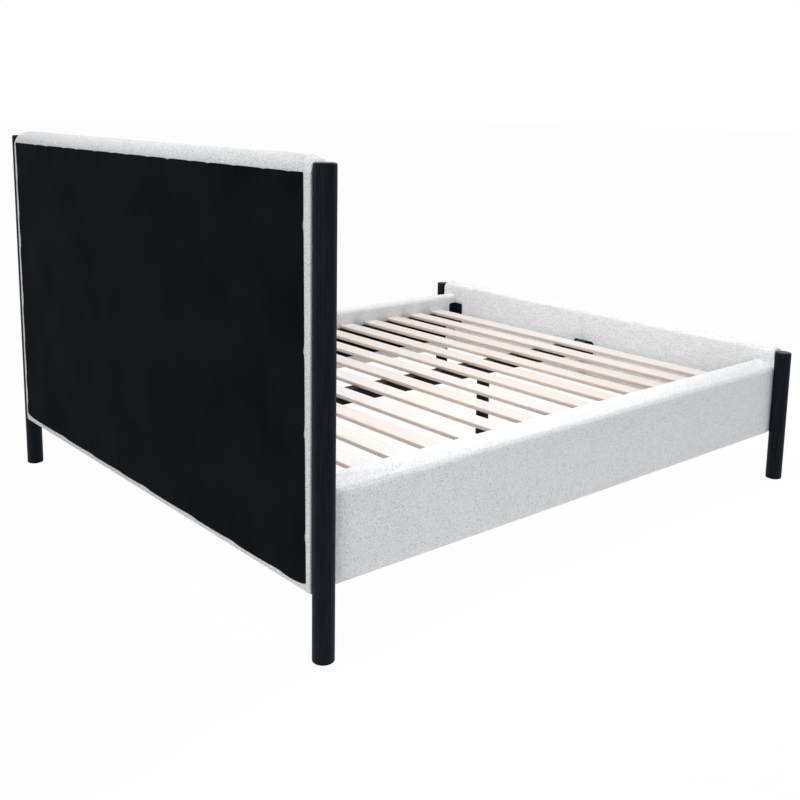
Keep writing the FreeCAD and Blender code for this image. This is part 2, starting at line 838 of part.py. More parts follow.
def build():
    """All the bed's pieces by name."""
    pieces, bolts, bolt_holes = corner_brackets()
    pieces["bracket_bolts"] = Part.makeCompound(bolts)

    frame_middle = (
        -headboard_front_depth
        + cover_thickness
        + headboard_foam_thickness
        + headboard_board_thickness
        + headboard_back_depth
        - cover_thickness
        - cover_gap
    ) / 2
    _, core_low, core_high = headboard_core()
    head_heights = (core_low + stud_edge_margin, core_high - stud_edge_margin)
    head_studs, head_holes = post_studs(half_length + frame_middle, head_heights)
    core_middle = footboard_inner_depth - cover_thickness - cover_gap - footboard_core_thickness / 2
    foot_heights = (
        footboard_pad.low + stud_short_edge_margin,
        footboard_pad.high - stud_short_edge_margin,
    )
    foot_studs, foot_holes = post_studs(-half_length + core_middle, foot_heights)
    pieces["post_studs"] = Part.makeCompound(head_studs + foot_studs)
    for name, side in SIDES.items():
        pieces["head_post_" + name] = post(head_post_height, side, half_length, head_holes)
        pieces["foot_post_" + name] = post(foot_post_height, side, -half_length, foot_holes)
    pieces["post_glides"] = post_glides()

    screws = []
    screw_holes = {}
    for name, end in ENDS.items():
        places = hanger_screws(end)
        screw_holes[name] = [
            fastener_hole(screw_diameter, length, seat, way) for seat, way, length in places
        ]
        pieces["beam_hanger_" + name] = beam_hanger(end, screw_holes[name])
        screws.extend(screw(seat, way, length) for seat, way, length in places)
    pieces["hanger_screws"] = Part.makeCompound(screws)

    pieces.update(headboard(bolt_holes + screw_holes["head"], head_holes))
    pieces.update(footboard(bolt_holes + screw_holes["foot"], foot_holes))

    rail_screws = []
    for name in SIDES:
        rail_pieces, side_screws = side_rail(name, bolt_holes)
        pieces.update(rail_pieces)
        rail_screws.extend(side_screws)
    pieces["ledger_screws"] = Part.makeCompound(rail_screws)

    pieces["centre_beam"] = centre_beam()
    caps = []
    for name, y in leg_places().items():
        pieces["centre_leg_" + name] = moved(centre_leg(), y=y)
        pieces["levelling_foot_" + name] = moved(levelling_foot(), y=y)
        caps.append(moved(leg_cap(), y=y))
    pieces["leg_caps"] = Part.makeCompound(caps)
    for index in range(slat_count):
        pieces["slat_%02d" % (index + 1)] = slat(index)
    return pieces


os.makedirs("parts", exist_ok=True)
for node, shape in build().items():
    shape.exportStep("parts/%s.step" % node)
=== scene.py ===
"""Dresses an upholstered platform bed in fabric, wood and steel, and sets it in a plain studio.

Every piece is in metres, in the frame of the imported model: X across the bed, Y from the foot (-) to
the head (+), Z up from the floor.
"""

from __future__ import annotations

import json
import logging
import math
from collections.abc import Callable, Iterator
from contextlib import contextmanager
from dataclasses import dataclass, replace
from enum import Enum
from typing import Any

import bmesh
import bpy
from mathutils import Matrix, Vector, noise

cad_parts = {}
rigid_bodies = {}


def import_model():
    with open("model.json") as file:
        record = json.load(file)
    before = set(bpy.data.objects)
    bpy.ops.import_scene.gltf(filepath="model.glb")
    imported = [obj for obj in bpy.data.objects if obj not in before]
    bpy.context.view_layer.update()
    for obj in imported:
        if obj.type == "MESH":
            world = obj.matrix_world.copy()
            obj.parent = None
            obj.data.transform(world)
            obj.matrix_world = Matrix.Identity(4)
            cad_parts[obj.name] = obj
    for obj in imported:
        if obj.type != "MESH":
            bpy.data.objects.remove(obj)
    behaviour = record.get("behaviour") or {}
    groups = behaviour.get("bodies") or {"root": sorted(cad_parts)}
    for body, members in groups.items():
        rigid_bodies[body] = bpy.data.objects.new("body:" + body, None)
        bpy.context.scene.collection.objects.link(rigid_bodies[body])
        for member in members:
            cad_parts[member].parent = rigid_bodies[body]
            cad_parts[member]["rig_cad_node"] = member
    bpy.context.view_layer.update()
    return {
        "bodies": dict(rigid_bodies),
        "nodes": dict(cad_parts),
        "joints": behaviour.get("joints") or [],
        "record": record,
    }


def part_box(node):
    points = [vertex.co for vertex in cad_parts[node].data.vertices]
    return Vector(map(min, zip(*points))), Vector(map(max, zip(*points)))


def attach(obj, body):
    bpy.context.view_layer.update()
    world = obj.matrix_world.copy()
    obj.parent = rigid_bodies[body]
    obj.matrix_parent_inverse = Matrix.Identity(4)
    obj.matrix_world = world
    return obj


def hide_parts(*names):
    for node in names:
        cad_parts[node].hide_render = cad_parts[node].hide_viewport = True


NodeTree = bpy.types.NodeTree
Piece = bpy.types.Object
Socket = bpy.types.NodeSocket
Inputs = dict[str | int, Any]
Pair = tuple[float, float]
Triple = tuple[float, float, float]

LOG = logging.getLogger("bed")
MM = 0.001
BED = "bed"
UPRIGHT: Triple = (math.radians(90), 0.0, 0.0)
POST_CLEARANCE = 0.4 * MM
# Cosines past which a direction counts as along an axis, or as across it
ALONG = 0.99
ACROSS = 0.1
# Phase, in radians, that a wave texture runs through per metre at a scale of 1
WAVE_PHASE = 20


class Axis(Enum):
    """Directions of the frame, as places in a vector."""

    X = 0
    Y = 1
    Z = 2


class Worded(Enum):
    """A choice whose name, in small letters, is its word in node names."""

    @property
    def word(self) -> str:
        """The word in node names."""
        return self.name.lower()


class Side(Worded):
    """The two sides of the bed, as signs along X."""

    LEFT = -1
    RIGHT = 1


class End(Worded):
    """The two ends of the bed, as signs along Y."""

    HEAD = 1
    FOOT = -1


class Element(Enum):
    """What an edit-mode selection picks."""

    EDGE = "EDGE"
    FACE = "FACE"


def linear(colour: str) -> tuple[float, float, float, float]:
    """Turns an sRGB hex colour to linear.

    Args:
        colour: Six hex digits after a hash sign.

    Returns:
        Linear red, green and blue, with an alpha of 1.
    """
    parts = [int(colour[i : i + 2], 16) / 255 for i in (1, 3, 5)]
    red, green, blue = (p / 12.92 if p <= 0.04045 else ((p + 0.055) / 1.055) ** 2.4 for p in parts)
    return red, green, blue, 1.0


def add_node(
    tree: NodeTree, kind: str, inputs: Inputs | None = None, **settings: Any
) -> bpy.types.NodeOutputs:
    """Adds a node with its settings, values and links.

    Args:
        tree: Node tree that takes the node.
        kind: Last part of the node type's name.
        inputs: A value, or a socket to link, for each input by name or place.
        settings: Properties of the node itself.

    Returns:
        The new node's outputs.
    """
    node = tree.nodes.new("ShaderNode" + kind)
    for name, value in settings.items():
        setattr(node, name, value)
    for key, value in (inputs or {}).items():
        if isinstance(value, Socket):
            tree.links.new(value, node.inputs[key])
        else:
            node.inputs[key].default_value = value
    return node.outputs


def bare_tree(holder: bpy.types.Material | bpy.types.World) -> NodeTree:
    """Clears the node tree of a new material or world.

    Args:
        holder: The new material or world.

    Returns:
        Its node tree, with nothing in it.
    """
    holder.use_nodes = True
    holder.node_tree.nodes.clear()
    return holder.node_tree


def stretched(axis: Axis, share: float) -> Vector:
    """Scale of a pattern that is drawn out along one axis.

    Args:
        axis: Axis that it is drawn out along.
        share: Its scale along that axis.

    Returns:
        Its scale along each axis.
    """
    scale = Vector((1.0, 1.0, 1.0))
    scale[axis.value] = share
    return scale


def per_metre(size_mm: float) -> float:
    """Noise scale whose features are about one size across."""
    return 1.0 / (size_mm * MM)


def band_scale(pitch_mm: float) -> float:
    """Wave texture scale whose bands repeat at one pitch."""
    return 2 * math.pi / WAVE_PHASE / (pitch_mm * MM)


@dataclass(frozen=True)
class Finish:
    """A finish: the real material, how its surface was made, and the record's slot for it."""

    name: str
    slot: str

    def material(self) -> bpy.types.Material:
        """Makes the material on first use.

        Returns:
            The material of this name.
        """
        made = bpy.data.materials.get(self.name)
        if made is None:
            made = bpy.data.materials.new(self.name)
            tree = bare_tree(made)
            point = add_node(tree, "TexCoord")["Object"]
            shader = add_node(tree, "BsdfPrincipled", self.surface(tree, point))
            add_node(tree, "OutputMaterial", {"Surface": shader["BSDF"]})
        return made

    def surface(self, tree: NodeTree, point: Socket) -> Inputs:
        """Draws the finish's own pattern, and gives what each input of the shader takes."""
        raise NotImplementedError

    def dress(self, piece: Piece) -> None:
        """Puts the finish on a piece or a CAD node.

        Args:
            piece: Object to dress.
        """
        made = self.material()
        if not piece.material_slots:
            piece.data.materials.append(made)
        for place in piece.material_slots:
            place.material = made


@dataclass(frozen=True)
class WovenUpholstery(Finish):
    """Polyester plain weave of mottled yarn: dull, pale, finely speckled grey, few dark flecks."""

    weft: Axis = Axis.X
    ground: str = "#F7F7F7"
    grey_yarn: str = "#C8CDD2"
    dark_fleck: str = "#7C8186"
    slub_weight: float = 0.25
    yarn_mm: float = 1.5
    slub_mm: float = 4.5
    slub_stretch: float = 0.1
    thread_mm: float = 2.6
    thread_wander: float = 0.8
    greying: Pair = (0.3, 1.0)
    flecking: Pair = (0.95, 0.97)
    fleck_weight: float = 0.85
    relief_mm: float = 0.4
    relief_strength: float = 0.3
    roughness: float = 0.92
    specular: float = 0.2
    sheen: Pair = (0.06, 0.5)

    def surface(self, tree: NodeTree, point: Socket) -> Inputs:
        """Speckles the yarns and raises the threads, both about twice as coarse as real, to show.

        Args:
            tree: The material's node tree.
            point: Object coordinates of the shaded point.

        Returns:
            A value, or a socket to link, for each input of the shader.
        """
        cells = {"Vector": point, "Scale": per_metre(self.yarn_mm)}
        yarn_ends = add_node(tree, "TexVoronoi", cells)
        tint = add_node(tree, "SeparateColor", {"Color": yarn_ends["Color"]})
        weft = {"Vector": point, "Scale": stretched(self.weft, self.slub_stretch)}
        along = add_node(tree, "Mapping", weft)[0]
        slubs = {"Vector": along, "Scale": per_metre(self.slub_mm), "Detail": 1.0}
        slub = add_node(tree, "TexNoise", slubs)["Fac"]
        weighed = {0: slub, 1: self.slub_weight, 2: tint["Red"]}
        mottle = add_node(tree, "Math", weighed, operation="MULTIPLY_ADD")[0]
        start, end = (bound + 0.5 * self.slub_weight for bound in self.greying)
        greying = {"Value": mottle, "From Min": start, "From Max": end}
        grey_share = add_node(tree, "MapRange", greying)[0]
        rare, rarest = self.flecking
        flecking = {"Value": tint["Blue"], "From Min": rare, "From Max": rarest}
        flecking["To Max"] = self.fleck_weight
        fleck_share = add_node(tree, "MapRange", flecking)[0]
        greys = {0: grey_share, 6: linear(self.ground), 7: linear(self.grey_yarn)}
        yarns = add_node(tree, "Mix", greys, data_type="RGBA")[2]
        flecks = {0: fleck_share, 6: yarns, 7: linear(self.dark_fleck)}
        flecked = add_node(tree, "Mix", flecks, data_type="RGBA")[2]
        domes = {0: 1.0, 1: yarn_ends["Distance"]}
        height = add_node(tree, "Math", domes, operation="SUBTRACT")[0]
        bands = {"Vector": point, "Scale": band_scale(self.thread_mm), "Detail": 1.0}
        bands["Distortion"] = self.thread_wander
        for way in Axis:
            thread = add_node(tree, "TexWave", bands, bands_direction=way.name)["Fac"]
            height = add_node(tree, "Math", {0: height, 1: thread}, operation="ADD")[0]
        relief = {"Distance": self.relief_mm * MM, "Strength": self.relief_strength}
        return {
            "Base Color": flecked,
            "Normal": add_node(tree, "Bump", {"Height": height, **relief})[0],
            "Roughness": self.roughness,
            "Specular IOR Level": self.specular,
            "Sheen Weight": self.sheen[0],
            "Sheen Roughness": self.sheen[1],
        }


@dataclass(frozen=True)
class StainedHardwood(Finish):
    """Ash, stained black and sealed satin: near black, its grain catching the light."""

    grain: Axis = Axis.Z
    stain: str = "#0B0F15"
    open_grain: str = "#1B232B"
    grain_mm: float = 2.4
    grain_stretch: float = 0.025
    opening: Pair = (0.42, 0.72)
    roughness: float = 0.5
    gloss_swing: Pair = (-0.08, 0.10)
    end_roughness: float = 0.24
    end_turn: Pair = (0.45, 0.9)
    specular: float = 0.06
    relief_mm: float = 0.12
    relief_strength: float = 0.35

    def surface(self, tree: NodeTree, point: Socket) -> Inputs:
        """Draws long fine grain in colour, gloss and relief; end grain is sealed smoother.

        Args:
            tree: The material's node tree.
            point: Object coordinates of the shaded point.

        Returns:
            A value, or a socket to link, for each input of the shader.
        """
        length = {"Vector": point, "Scale": stretched(self.grain, self.grain_stretch)}
        along = add_node(tree, "Mapping", length)[0]
        fibres = {"Vector": along, "Scale": per_metre(self.grain_mm)}
        fibres |= {"Detail": 3.0, "Roughness": 0.6}
        grain = add_node(tree, "TexNoise", fibres)["Fac"]
        closed, opened = self.opening
        opening = {"Value": grain, "From Min": closed, "From Max": opened}
        share = add_node(tree, "MapRange", opening)[0]
        stains = {0: share, 6: linear(self.stain), 7: linear(self.open_grain)}
        shinier, duller = (self.roughness + swing for swing in self.gloss_swing)
        swing = {"Value": grain, "To Min": shinier, "To Max": duller}
        gloss = add_node(tree, "MapRange", swing)[0]
        normal = add_node(tree, "TexCoord")["Normal"]
        facing = add_node(tree, "SeparateXYZ", {"Vector": normal})[self.grain.value]
        side, end = self.end_turn
        turned = {"Value": facing, "From Min": side, "From Max": end}
        end_share = add_node(tree, "MapRange", turned)[0]
        relief = {"Distance": self.relief_mm * MM, "Strength": self.relief_strength}
        return {
            "Base Color": add_node(tree, "Mix", stains, data_type="RGBA")[2],
            "Normal": add_node(tree, "Bump", {"Height": grain, **relief})[0],
            "Roughness": add_node(tree, "Mix", {0: end_share, 2: gloss, 3: self.end_roughness})[0],
            "Specular IOR Level": self.specular,
        }


@dataclass(frozen=True)
class DustCloth(Finish):
    """Spunbonded polypropylene cambric: matte black, faintly pebbled by its bonding pattern."""

    black: str = "#080A0D"
    # The black is lightened towards this colour in a soft random mottle
    lighter_black: str = "#12161A"
    fibre_mm: float = 4.0
    drift_mm: float = 160.0
    wear: Pair = (0.14, 0.38)
    relief_mm: float = 0.25
    relief_strength: float = 0.4
    roughness: float = 0.9
    specular: float = 0.05

    def surface(self, tree: NodeTree, point: Socket) -> Inputs:
        """Mottles the black softly and pebbles it; the fibres are drawn coarser than real, to show.

        Args:
            tree: The material's node tree.
            point: Object coordinates of the shaded point.

        Returns:
            A value, or a socket to link, for each input of the shader.
        """
        fibres = {"Vector": point, "Scale": per_metre(self.fibre_mm), "Detail": 3.0}
        fibre = add_node(tree, "TexNoise", fibres)["Fac"]
        drifts = {"Vector": point, "Scale": per_metre(self.drift_mm), "Detail": 2.0}
        drift = add_node(tree, "TexNoise", drifts)["Fac"]
        # A soft random mottle, fibre times drift, lightens the black towards the lighter black
        mottle = add_node(tree, "Math", {0: fibre, 1: drift}, operation="MULTIPLY")[0]
        mottle_low, mottle_high = self.wear
        wear = {"Value": mottle, "From Min": mottle_low, "From Max": mottle_high}
        share = add_node(tree, "MapRange", wear)[0]
        blacks = {0: share, 6: linear(self.black), 7: linear(self.lighter_black)}
        relief = {"Distance": self.relief_mm * MM, "Strength": self.relief_strength}
        return {
            "Base Color": add_node(tree, "Mix", blacks, data_type="RGBA")[2],
            "Normal": add_node(tree, "Bump", {"Height": fibre, **relief})[0],
            "Roughness": self.roughness,
            "Specular IOR Level": self.specular,
        }


@dataclass(frozen=True)
class PlanedSoftwood(Finish):
    """Poplar or pine, planed: pale, faintly grained, browner at its sawn edges, varied."""

    grain: Axis = Axis.X
    pale: str = "#DFD6D0"
    late_wood: str = "#D3C5BA"
    cool: str = "#E1DCD8"
    sawn_edge: str = "#DDCBBC"
    grain_mm: float = 5.0
    board_axis: Axis = Axis.Y
    board_mm: float = 137.0
    board_shift: float = 0.595
    grain_stretch: float = 0.03
    cooling: Pair = (0.3, 0.6)
    edge_turn: Pair = (0.9, 0.4)
    late_range: Pair = (0.46, 0.80)
    late_weight: float = 0.7
    roughness: float = 0.62
    specular: float = 0.3
    relief_mm: float = 0.15
    relief_strength: float = 0.3

    def surface(self, tree: NodeTree, point: Socket) -> Inputs:
        """Draws long grain over a tone that steps from board to board, and browns the edges.

        Args:
            tree: The material's node tree.
            point: Object coordinates of the shaded point.

        Returns:
            A value, or a socket to link, for each input of the shader.
        """
        place = add_node(tree, "SeparateXYZ", {"Vector": point})[self.board_axis.value]
        pitch = {0: place, 1: per_metre(self.board_mm), 2: self.board_shift}
        step = add_node(tree, "Math", pitch, operation="MULTIPLY_ADD")[0]
        board = add_node(tree, "Math", {0: step}, operation="ROUND")[0]
        tone = add_node(tree, "TexWhiteNoise", {"W": board}, noise_dimensions="1D")["Value"]
        shifted = add_node(tree, "VectorMath", {0: point, 1: tone}, operation="ADD")[0]
        length = {"Vector": shifted, "Scale": stretched(self.grain, self.grain_stretch)}
        along = add_node(tree, "Mapping", length)[0]
        fibres = {"Vector": along, "Scale": per_metre(self.grain_mm)}
        fibres |= {"Detail": 4.0, "Roughness": 0.55, "Distortion": 0.6}
        grain = add_node(tree, "TexNoise", fibres)["Fac"]
        normal = add_node(tree, "TexCoord")["Normal"]
        upward = add_node(tree, "SeparateXYZ", {"Vector": normal})["Z"]
        flat = add_node(tree, "Math", {0: upward}, operation="ABSOLUTE")[0]
        colour = linear(self.pale)
        layers = (
            (tone, self.cooling, 1.0, self.cool),
            (flat, self.edge_turn, 1.0, self.sawn_edge),
            (grain, self.late_range, self.late_weight, self.late_wood),
        )
        for value, (start, end), weight, over in layers:
            bounds = {"Value": value, "From Min": start, "From Max": end, "To Max": weight}
            share = add_node(tree, "MapRange", bounds)[0]
            colours = {0: share, 6: colour, 7: linear(over)}
            colour = add_node(tree, "Mix", colours, data_type="RGBA")[2]
        relief = {"Distance": self.relief_mm * MM, "Strength": self.relief_strength}
        return {
            "Base Color": colour,
            "Normal": add_node(tree, "Bump", {"Height": grain, **relief})[0],
            "Roughness": self.roughness,
            "Specular IOR Level": self.specular,
        }


@dataclass(frozen=True)
class HardwareFinish(Finish):
    """Coated or plated steel, or moulded nylon: a fine grit breaks its colour and gloss."""

    body: str = "#0B0D10"
    grit: str = "#15181B"
    grit_mm: float = 1.6
    metallic: float = 0.0
    roughness: float = 0.5
    relief_mm: float = 0.05
    specular: float = 0.5
    gloss_swing: float = 0.08
    relief_strength: float = 0.5

    def surface(self, tree: NodeTree, point: Socket) -> Inputs:
        """Draws the grit in colour, gloss and relief.

        Args:
            tree: The material's node tree.
            point: Object coordinates of the shaded point.

        Returns:
            A value, or a socket to link, for each input of the shader.
        """
        grains = {"Vector": point, "Scale": per_metre(self.grit_mm), "Detail": 2.0}
        grit = add_node(tree, "TexNoise", grains)["Fac"]
        colours = {0: grit, 6: linear(self.body), 7: linear(self.grit)}
        shinier, duller = self.roughness - self.gloss_swing, self.roughness + self.gloss_swing
        swing = {"Value": grit, "To Min": shinier, "To Max": duller}
        relief = {"Distance": self.relief_mm * MM, "Strength": self.relief_strength}
        return {
            "Base Color": add_node(tree, "Mix", colours, data_type="RGBA")[2],
            "Normal": add_node(tree, "Bump", {"Height": grit, **relief})[0],
            "Roughness": add_node(tree, "MapRange", swing)[0],
            "Metallic": self.metallic,
            "Specular IOR Level": self.specular,
        }


PANEL_FABRIC = WovenUpholstery("Mottled upholstery weave, weft across", "cover_fabric", Axis.X)
FOOT_FABRIC = WovenUpholstery(
    "Slubbed upholstery weave, weft across", "cover_fabric", Axis.X, slub_weight=0.9
)
RAIL_FABRIC = WovenUpholstery("Mottled upholstery weave, weft along", "cover_fabric", Axis.Y)
POST_WOOD = StainedHardwood("Black-stained turned ash", "post_wood", Axis.Z)
LEDGER_WOOD = StainedHardwood("Black-stained planed batten", "ledger_wood", Axis.Y, roughness=0.6)
DUST_CLOTH = DustCloth("Black spunbonded cambric", "dust_cloth")
SLAT_WOOD = PlanedSoftwood("Planed pale slat wood", "slat_wood")
PINE_TONES = ("#DCC29B", "#B98F5C", "#D6BE98", "#D2B386")
UPRIGHT_TIMBER, CROSS_TIMBER, RAIL_TIMBER = (
    PlanedSoftwood("Sawn frame pine, " + way, "frame_timber", grain, *PINE_TONES, board_axis=step)
    for way, grain, step in (
        ("upright", Axis.Z, Axis.X),
        ("across", Axis.X, Axis.Z),
        ("along", Axis.Y, Axis.Z),
    )
)
BIRCH_TONES = ("#E2CDA8", "#C7A777", "#DCC8A4", "#CDB189")
PLYWOOD = PlanedSoftwood("Rotary-cut birch plywood", "plywood", Axis.Z, *BIRCH_TONES, 9.0, Axis.X)
# Dull black, faintly rough to the eye
BLACK_STEEL = HardwareFinish("Powder-coated black steel", "black_steel", specular=0.12)
# Charcoal metal with a soft shine
BLACK_FASTENERS = HardwareFinish(
    "Black-oxide steel", "black_fasteners", "#2A2C2E", "#3A3C3E", 0.8, 1.0, 0.42, 0.02
)
# Pale grey metal, brightly shining
PLAIN_STEEL = HardwareFinish(
    "Zinc-plated steel", "plain_steel", "#B9BDC0", "#D3D6D8", 0.8, 1.0, 0.34, 0.02
)
# Matte black, a shade lighter than the steel
BLACK_NYLON = HardwareFinish(
    "Moulded black nylon", "black_plastic", "#15171A", "#202326", 1.0, 0.0, 0.55, 0.03
)
# Finishes of the CAD nodes that stay, by how their names start: the first match holds
NODE_FINISHES: dict[str, Finish] = {
    "slat_ledger": LEDGER_WOOD,
    "headboard_board": PLYWOOD,
    "headboard_stile": UPRIGHT_TIMBER,
    "headboard_middle_stiles": UPRIGHT_TIMBER,
    "headboard": CROSS_TIMBER,
    "footboard": CROSS_TIMBER,
    "rail": RAIL_TIMBER,
    "post_studs": PLAIN_STEEL,
    "post_glides": BLACK_NYLON,
    "leg_caps": BLACK_NYLON,
    "levelling_foot": BLACK_NYLON,
    "bracket_bolts": BLACK_FASTENERS,
    "hanger_screws": BLACK_FASTENERS,
    "ledger_screws": BLACK_FASTENERS,
}


def activate(piece: Piece) -> None:
    """Makes a piece the only selected one, and the active one.

    Args:
        piece: Piece to select.
    """
    bpy.ops.object.select_all(action="DESELECT")
    piece.select_set(True)
    bpy.context.view_layer.objects.active = piece


def named(name: str) -> Piece:
    """Names the primitive that was just added, with its place applied to its mesh.

    Args:
        name: Piece name.

    Returns:
        The piece.
    """
    piece = bpy.context.view_layer.objects.active
    piece.name = name
    piece.data.name = name
    activate(piece)
    bpy.ops.object.transform_apply(location=True, rotation=True, scale=True)
    return piece


def add_grid(name: str, cuts: tuple[int, int], size: Pair, at: Vector, turn: Triple) -> Piece:
    """Adds a flat grid at its size and place.

    Args:
        name: Piece name.
        cuts: Faces along its width and its length.
        size: Width and length.
        at: Its middle.
        turn: Turns about X, Y and Z from lying flat.

    Returns:
        The grid.
    """
    bpy.ops.mesh.primitive_grid_add(
        x_subdivisions=cuts[0], y_subdivisions=cuts[1], size=1.0, location=at, rotation=turn
    )
    bpy.context.view_layer.objects.active.scale = (*size, 1.0)
    return named(name)


@contextmanager
def edit_mode(piece: Piece) -> Iterator[None]:
    """Holds a piece in edit mode, all of it selected at first, for the length of a block.

    Args:
        piece: Piece to edit.

    Yields:
        Nothing, while the piece is in edit mode.
    """
    activate(piece)
    bpy.ops.object.mode_set(mode="EDIT")
    bpy.ops.mesh.select_all(action="SELECT")
    yield
    bpy.ops.object.mode_set(mode="OBJECT")


def pick(piece: Piece, element: Element, wanted: Callable[[Vector, Vector], bool]) -> None:
    """Selects edges or faces of a piece that is in edit mode.

    Args:
        piece: Piece in edit mode.
        element: Edges or faces.
        wanted: Test of an edge's middle and direction, or of a face's middle and normal.
    """
    bpy.ops.mesh.select_mode(type=element.value)
    bpy.ops.mesh.select_all(action="DESELECT")
    shape = bmesh.from_edit_mesh(piece.data)
    if element is Element.EDGE:
        for edge in shape.edges:
            start, end = (corner.co for corner in edge.verts)
            edge.select_set(wanted((start + end) / 2, (end - start).normalized()))
    else:
        for face in shape.faces:
            face.select_set(wanted(face.calc_center_median(), face.normal))
    shape.select_flush_mode()
    bmesh.update_edit_mesh(piece.data)


def apply_modifier(piece: Piece, kind: str, **settings: Any) -> None:
    """Adds a modifier with its settings and applies it.

    Args:
        piece: Piece that takes it.
        kind: Modifier type.
        settings: The modifier's properties.
    """
    activate(piece)
    bpy.ops.object.modifier_add(type=kind)
    modifier = piece.modifiers[-1]
    for name, value in settings.items():
        setattr(modifier, name, value)
    bpy.ops.object.modifier_apply(modifier=modifier.name)


def smooth(piece: Piece, degrees: float) -> None:
    """Shades a piece smooth, apart from edges sharper than an angle."""
    activate(piece)
    bpy.ops.object.shade_smooth_by_angle(angle=math.radians(degrees))


def copied(piece: Piece, name: str, move: Matrix) -> Piece:
    """Copies a piece with a mesh of its own, moved within that mesh.

    Args:
        piece: Piece to copy.
        name: Name of the copy.
        move: Where the copy goes, from where the piece is.

    Returns:
        The copy.
    """
    twin = piece.copy()
    twin.data = piece.data.copy()
    twin.name = name
    twin.data.name = name
    twin.data.transform(move)
    bpy.context.scene.collection.objects.link(twin)
    return twin


def settle(piece: Piece, *nodes: str) -> None:
    """Sets a finished piece on the bed, in place of the CAD nodes that it stands for.

    Args:
        piece: Finished piece.
        nodes: CAD nodes that it stands for.
    """
    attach(piece, BED)
    if nodes:
        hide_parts(*nodes)
    top = max(corner.co.z for corner in piece.data.vertices) / MM
    faces = len(piece.data.polygons)
    stands_for = ", ".join(nodes) or "trim"
    LOG.info("%s: %d faces, top at %.1f mm, for %s", piece.name, faces, top, stands_for)


@dataclass(frozen=True)
class PadForm:
    """Upholstered block in its own frame: its run along X, its padded face towards -Y."""

    show_round: Pair
    back_round: Pair
    end_run: float
    end_drop: float
    swell: float
    end_draw: float = 0.0
    half_run: float = 0.0
    show: float = 0.0
    back: float = 0.0
    low: float = 0.0
    high: float = 0.0
    low_round: Pair = (6 * MM, 6 * MM)
    crest: float = 0.5
    show_fall: float = 0.0
    back_fall: float = 0.0
    fall_power: float = 1.6
    top_crowding: float = 1.35
    end_crowding: float = 1.6
    post_x: float = 0.0
    post_radius: float = 0.0

    def fitted(self, point: Vector) -> Vector:
        """Moves a point of the plain block to the upholstered form.

        Args:
            point: Point on the block.

        Returns:
            The point on the form, before its cover swells.
        """
        run, depth, height = point
        inner_share = max(0.0, 1 - abs(run) / self.half_run)
        run = math.copysign(self.half_run * (1 - inner_share**self.end_crowding), run)
        end_share = max(0.0, 1 - (self.half_run - abs(run)) / self.end_run)
        reach = 1 - math.sqrt(max(0.0, 1 - end_share**2))
        show = self.show + self.swell + self.end_draw * reach
        top = self.high - self.swell - self.end_drop * reach
        across_share = (depth - self.show) / (self.back - self.show)
        depth = show + across_share * (self.back - show)
        share = (height - self.low) / (self.high - self.low)
        crown = top - self.fall(across_share)
        height = self.low + (1 - max(0.0, 1 - share) ** self.top_crowding) * (crown - self.low)
        show_round = (self.show_round[0] - self.swell, self.show_round[1] - self.swell)
        corners = (
            (show, top - self.show_fall, -1, 1, show_round),
            (self.back, top - self.back_fall, 1, 1, self.back_round),
            (show, self.low, -1, -1, self.low_round),
            (self.back, self.low, 1, -1, self.low_round),
        )
        for edge_depth, edge_height, out, up, (wide, tall) in corners:
            centre_depth = edge_depth - out * wide
            centre_height = edge_height - up * tall
            across = out * (depth - centre_depth) / wide
            above = up * (height - centre_height) / tall
            if across > 0 and above > 0:
                share = max(across, above) / math.hypot(across, above)
                depth = centre_depth + out * wide * across * share
                height = centre_height + up * tall * above * share
        return Vector((self.against_post(run, depth), depth, height))

    def fall(self, share: float) -> float:
        """How far the crowned top lies below its crest.

        Args:
            share: Place across the block, from 0 at the padded face to 1 at the back.

        Returns:
            Distance below the crest.
        """
        if share < self.crest:
            return self.show_fall * (1 - share / self.crest) ** self.fall_power
        return self.back_fall * ((share - self.crest) / (1 - self.crest)) ** self.fall_power

    def against_post(self, run: float, depth: float) -> float:
        """Draws the block's end back to the round of a post.

        Args:
            run: Place along the run.
            depth: Place across the block.

        Returns:
            Place along the run that clears the post.
        """
        start = self.half_run - self.end_run
        if abs(depth) >= self.post_radius or abs(run) <= start:
            return run
        limit = min(self.half_run, self.post_x - math.sqrt(self.post_radius**2 - depth**2))
        squeezed = start + (abs(run) - start) * (limit - start) / (self.half_run - start)
        return math.copysign(squeezed, run)


